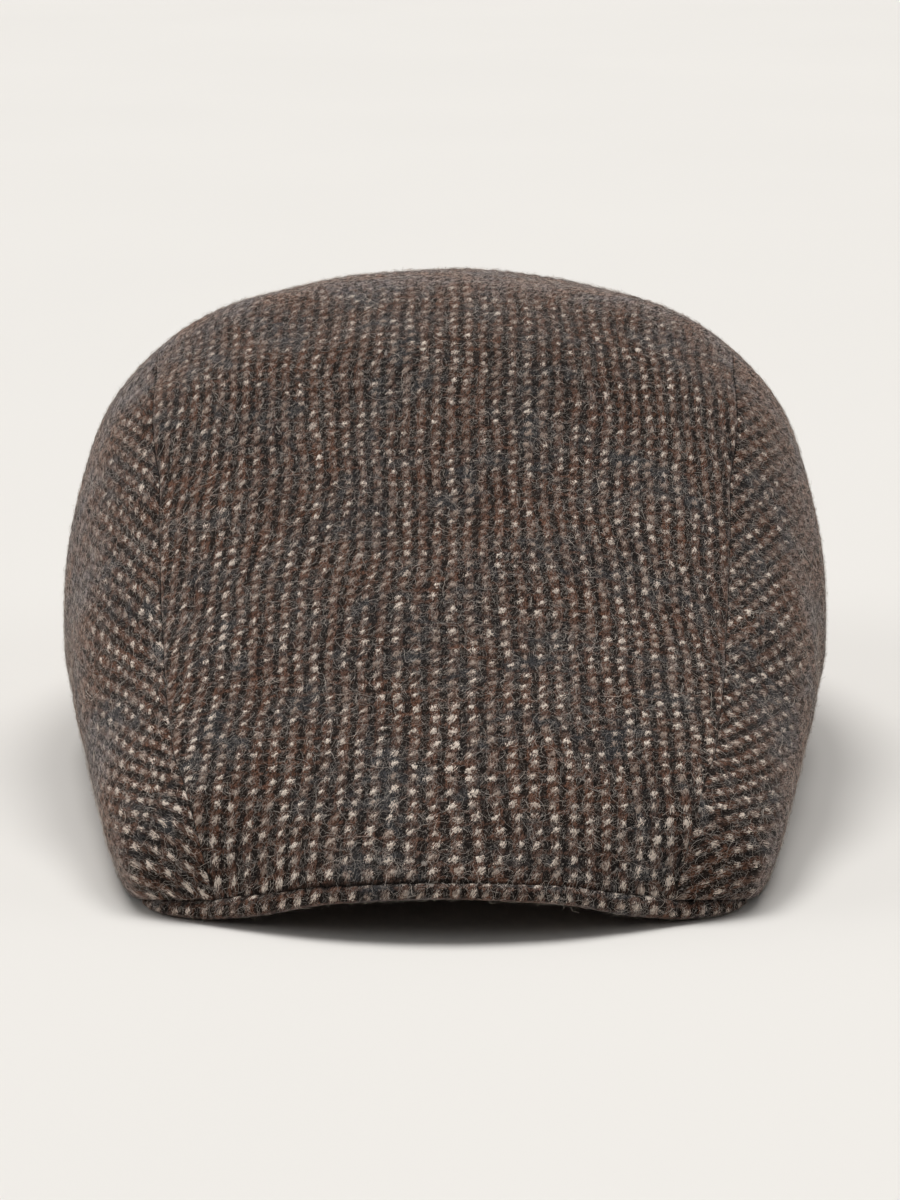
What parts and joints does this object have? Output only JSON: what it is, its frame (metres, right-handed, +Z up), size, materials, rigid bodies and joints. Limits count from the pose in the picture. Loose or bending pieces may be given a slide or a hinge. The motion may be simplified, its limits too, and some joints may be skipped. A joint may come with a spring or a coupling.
{
  "type": "flat cap",
  "caption": "Duckbill flat cap of chunky tweed: a centre panel folded over a stiff curved peak, side panels, and an open head hollow.",
  "frame": {"origin": "middle of the cap's plan, on the surface that the hem rests on", "axes": "+Z up through the crown, -Y towards the front of the peak, +X towards the wearer's left"},
  "size_m": [0.2002, 0.275, 0.118],
  "materials": {
    "tweed": "matt woven wool, fuzzy",
    "peak_tweed": "matt woven wool, fuzzy"
  },
  "bodies": {
    "root": {"crown_centre_panel": "tweed", "crown_side_left": "tweed", "crown_side_right": "tweed", "peak": "peak_tweed"}
  },
  "joints": []
}
